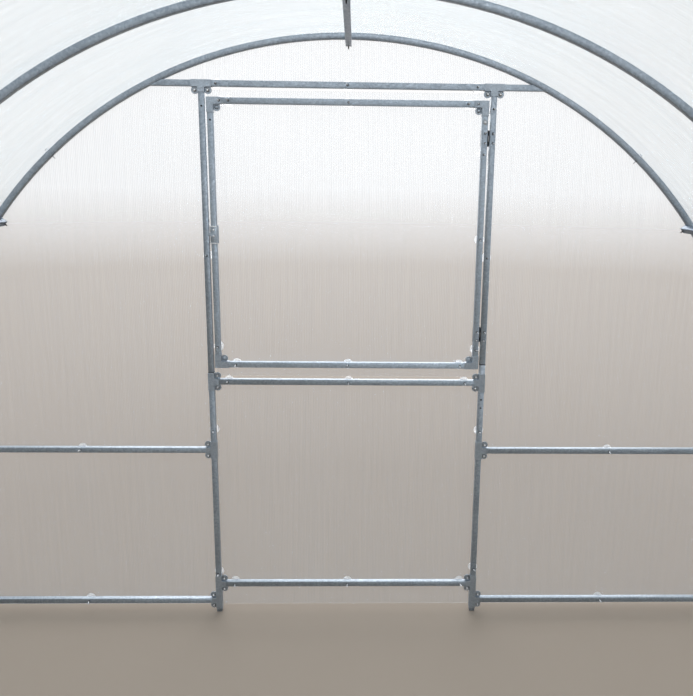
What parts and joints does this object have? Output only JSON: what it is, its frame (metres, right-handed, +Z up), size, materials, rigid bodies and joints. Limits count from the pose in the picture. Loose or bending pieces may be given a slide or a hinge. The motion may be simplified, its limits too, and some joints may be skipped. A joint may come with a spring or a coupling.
{
  "type": "arched greenhouse",
  "caption": "Arched greenhouse of galvanised square tube under twin wall polycarbonate sheet, with a hinged hatch in its front end wall.",
  "frame": {"origin": "ground level, at the middle of the plan", "axes": "+Z up, Y along the greenhouse with the hinged hatch's end wall at -Y, X across it"},
  "size_m": [3.0202, 4.13, 2.1099],
  "materials": {
    "tube": "hot-dip galvanised, dull silver grey",
    "clamp": "stamped galvanised sheet steel",
    "sheet": "clear twin wall polycarbonate",
    "fitting": "zinc-plated steel"
  },
  "bodies": {
    "greenhouse": {"front_end_arch": "tube", "arch_2": "tube", "arch_3": "tube", "arch_4": "tube", "arch_5": "tube", "arch_6": "tube", "back_end_arch": "tube", "ridge_purlin": "tube", "side_purlins": "tube", "base_rails": "tube", "front_left_post": "tube", "front_right_post": "tube", "front_lintel": "tube", "front_side_rails": "tube", "front_crossbars": "tube", "back_left_post": "tube", "back_right_post": "tube", "back_lintel": "tube", "back_side_rails": "tube", "back_leaf_stiles": "tube", "back_leaf_rails": "tube", "front_clamps": "clamp", "back_clamps": "clamp", "back_leaf_clamps": "clamp", "roof_sheet_front": "sheet", "roof_sheet_back": "sheet", "front_left_sheet": "sheet", "front_right_sheet": "sheet", "front_top_sheet": "sheet", "front_lower_sheet": "sheet", "back_left_sheet": "sheet", "back_right_sheet": "sheet", "back_top_sheet": "sheet", "back_leaf_sheets": "sheet", "hinge_post_plates": "fitting", "hinge_pins": "fitting", "back_latches": "fitting", "back_hinges": "fitting"},
    "leaf": {"leaf_stiles": "tube", "leaf_rails": "tube", "leaf_clamps": "clamp", "leaf_sheet": "sheet", "leaf_latch": "fitting", "hinge_leaf_plates": "fitting"}
  },
  "joints": [
    {"name": "leaf_hinge", "type": "hinge", "parent": "greenhouse", "child": "leaf", "pos_m": [-0.474, -2.01075, 1.4305], "axis": [0, 0, -1], "range_deg": [0, 150]}
  ]
}
